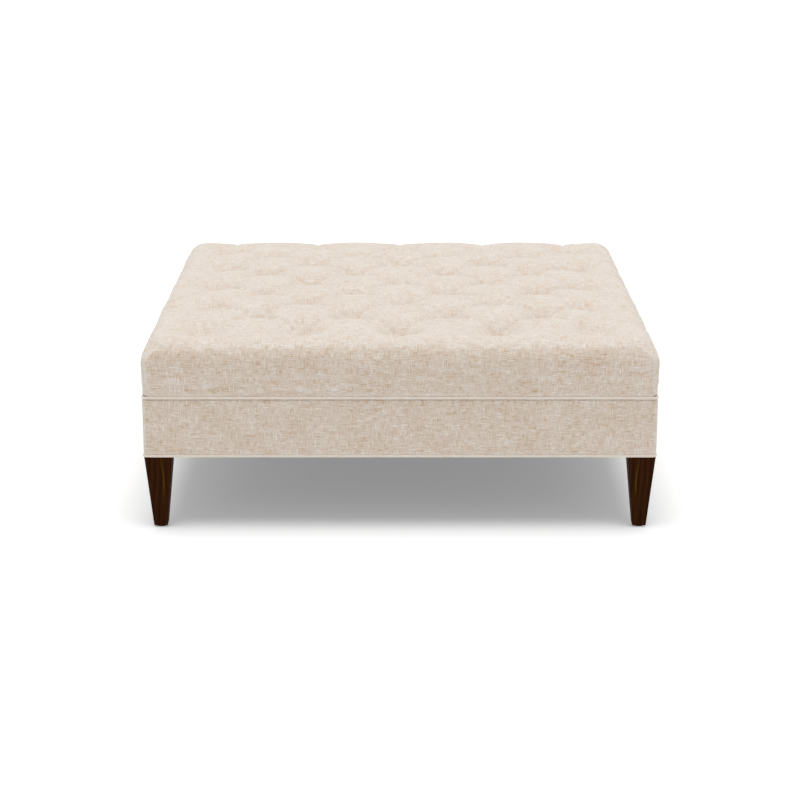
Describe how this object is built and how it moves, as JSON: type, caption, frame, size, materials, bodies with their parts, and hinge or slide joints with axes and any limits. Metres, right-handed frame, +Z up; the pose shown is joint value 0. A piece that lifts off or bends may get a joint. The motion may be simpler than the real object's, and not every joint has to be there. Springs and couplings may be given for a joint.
{
  "type": "ottoman coffee table",
  "caption": "square ottoman coffee table: upholstered box with piped edges and a blind diamond-tufted cushion top on square tapered wooden legs",
  "frame": {"origin": "on the floor, under the middle of the footprint", "axes": "+Z up; +X to the right and +Y to the back, seen from the front; the plan is square"},
  "size_m": [1.018, 1.018, 0.39],
  "materials": {
    "cream_weave": "slubbed plain weave in cream and beige",
    "frame_wood": "planed softwood and plywood, bare",
    "walnut_stain": "dark walnut stain, satin lacquer",
    "tack_card": "raw card",
    "glide_nylon": "moulded nylon",
    "zinc_steel": "zinc plated",
    "staple_wire": "galvanised wire",
    "waxed_twine": "flat waxed twine",
    "foam": "cut seat foam",
    "wadding": "bonded polyester wadding",
    "dust_cloth": "black spunbonded cloth"
  },
  "bodies": {
    "root": {"band_cover": "cream_weave", "band_padding": "wadding", "bottom_hem": "cream_weave", "corner_block_back_left": "frame_wood", "corner_block_back_right": "frame_wood", "corner_block_front_left": "frame_wood", "corner_block_front_right": "frame_wood", "cross_rail_left": "frame_wood", "cross_rail_right": "frame_wood", "deck_slat_1": "frame_wood", "deck_slat_10": "frame_wood", "deck_slat_2": "frame_wood", "deck_slat_3": "frame_wood", "deck_slat_4": "frame_wood", "deck_slat_5": "frame_wood", "deck_slat_6": "frame_wood", "deck_slat_7": "frame_wood", "deck_slat_8": "frame_wood", "deck_slat_9": "frame_wood", "dust_cover": "dust_cloth", "foam_core": "foam", "hanger_bolts": "zinc_steel", "leg_back_left": "walnut_stain", "leg_back_right": "walnut_stain", "leg_front_left": "walnut_stain", "leg_front_right": "walnut_stain", "leg_glides": "glide_nylon", "lower_welt": "cream_weave", "rail_back": "frame_wood", "rail_front": "frame_wood", "rail_left": "frame_wood", "rail_right": "frame_wood", "tack_strip_back": "tack_card", "tack_strip_front": "tack_card", "tack_strip_left": "tack_card", "tack_strip_right": "tack_card", "tee_nuts": "zinc_steel", "top_cover": "cream_weave", "tuft_staples": "staple_wire", "tuft_twines": "waxed_twine", "upper_welt": "cream_weave"}
  },
  "joints": []
}
